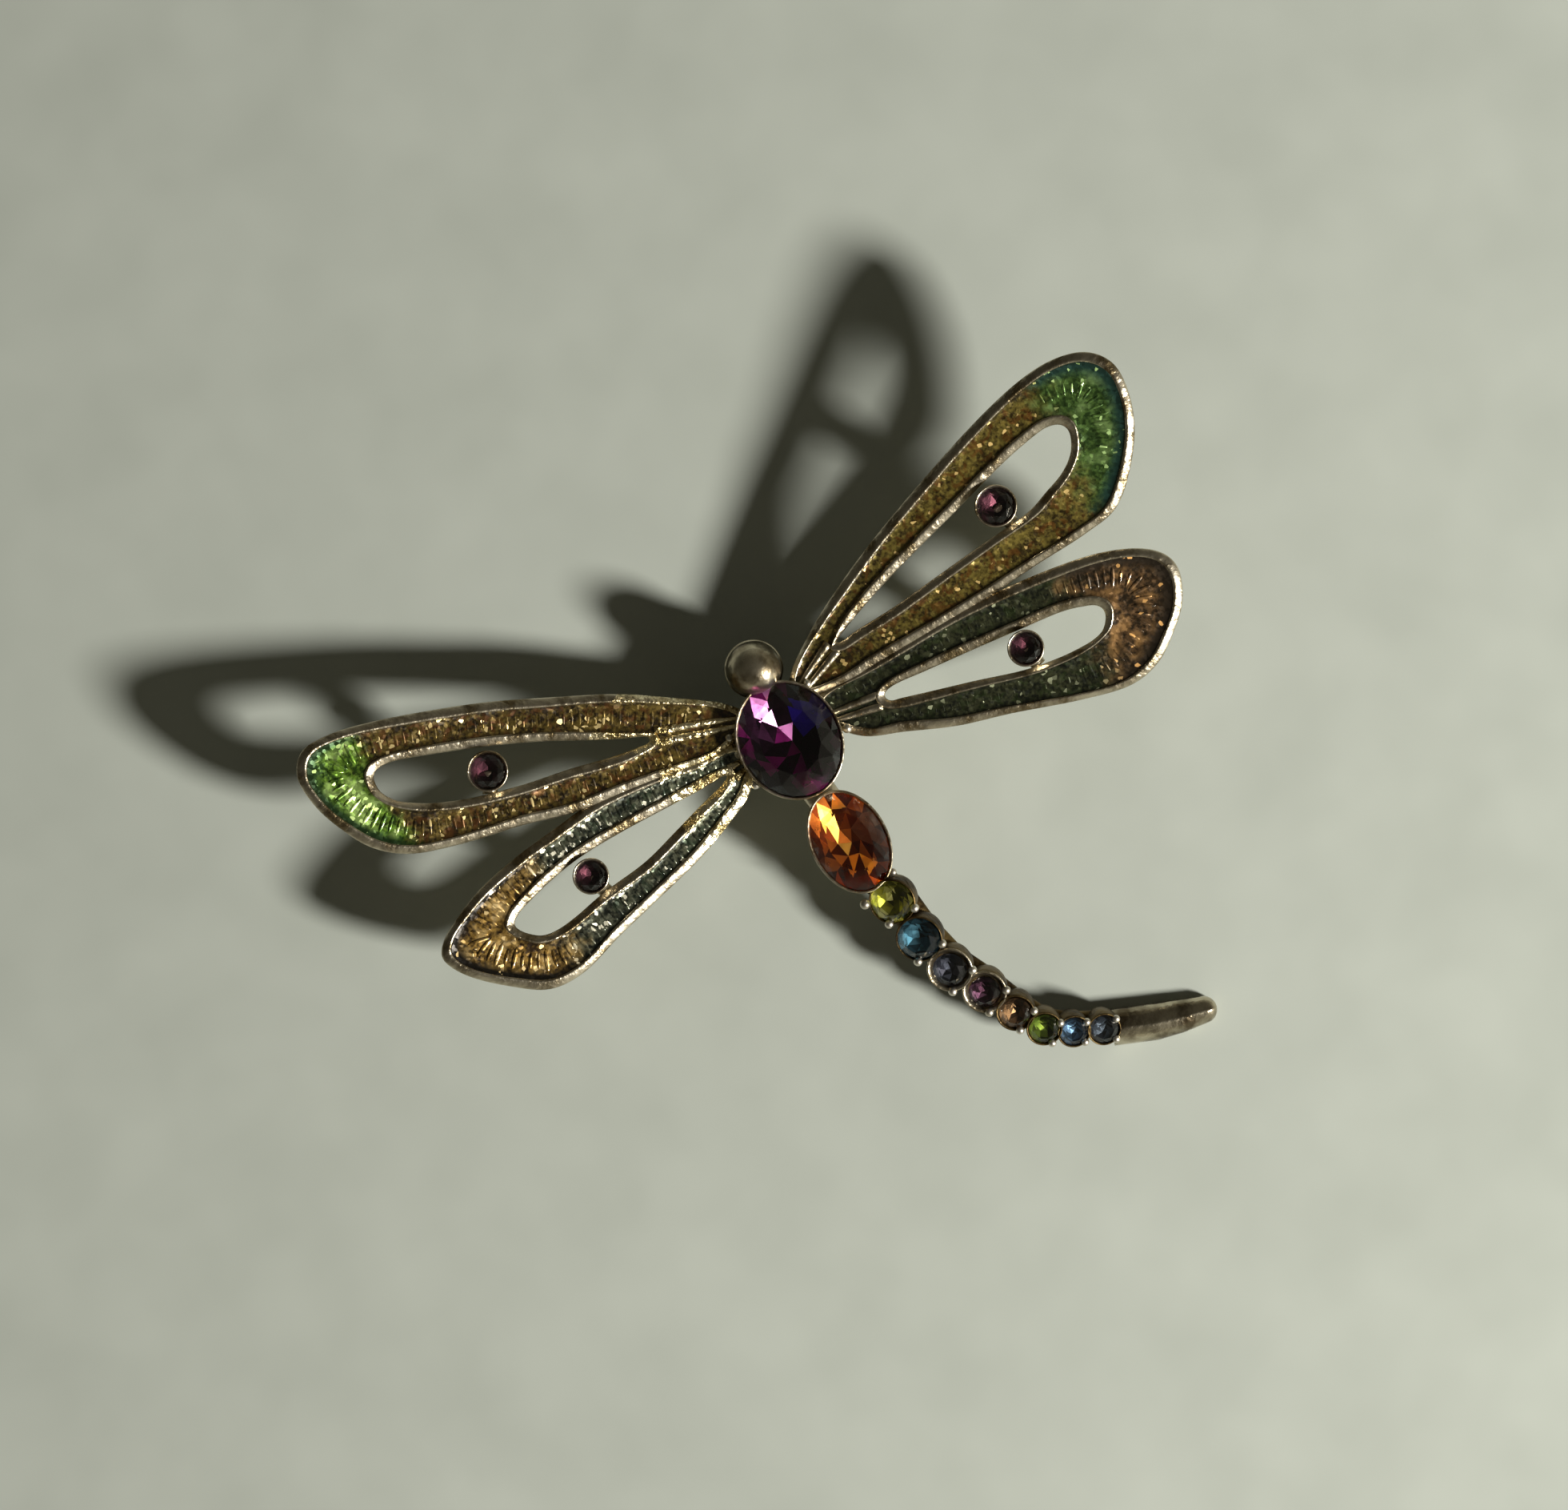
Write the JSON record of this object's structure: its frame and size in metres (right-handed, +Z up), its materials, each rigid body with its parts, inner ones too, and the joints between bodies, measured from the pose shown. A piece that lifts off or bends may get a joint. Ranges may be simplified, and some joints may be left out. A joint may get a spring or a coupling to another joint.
{
  "type": "brooch",
  "caption": "Dragonfly brooch with open enamelled wings, a body and a curved tail of cut stones in cups, and a pin across its back.",
  "frame": {"origin": "under the middle of the brooch's outline, on the table it lies on", "axes": "+X along the right wings, +Y towards the head, +Z up from the table, towards the face"},
  "size_m": [0.0656, 0.0484, 0.0115],
  "materials": {
    "cast_metal": "polished plating",
    "pin_metal": "satin",
    "fore_enamel": "glossy translucent enamel",
    "hind_enamel": "glossy translucent enamel",
    "purple_stone": "cut and polished",
    "amber_stone": "cut and polished",
    "plum_stone": "cut and polished",
    "olive_stone": "cut and polished",
    "teal_stone": "cut and polished",
    "navy_stone": "cut and polished",
    "violet_stone": "cut and polished",
    "topaz_stone": "cut and polished",
    "green_stone": "cut and polished",
    "blue_stone": "cut and polished"
  },
  "bodies": {
    "root": {"cast_frame": "cast_metal", "pin_back": "pin_metal", "enamel_right_fore": "fore_enamel", "enamel_right_hind": "hind_enamel", "enamel_left_fore": "fore_enamel", "enamel_left_hind": "hind_enamel", "thorax_stone": "purple_stone", "abdomen_stone": "amber_stone", "wing_stone_right_fore": "plum_stone", "wing_stone_right_hind": "plum_stone", "wing_stone_left_fore": "plum_stone", "wing_stone_left_hind": "plum_stone", "tail_stone_1": "olive_stone", "tail_stone_2": "teal_stone", "tail_stone_3": "navy_stone", "tail_stone_8": "navy_stone", "tail_stone_4": "violet_stone", "tail_stone_5": "topaz_stone", "tail_stone_6": "green_stone", "tail_stone_7": "blue_stone"}
  },
  "joints": []
}
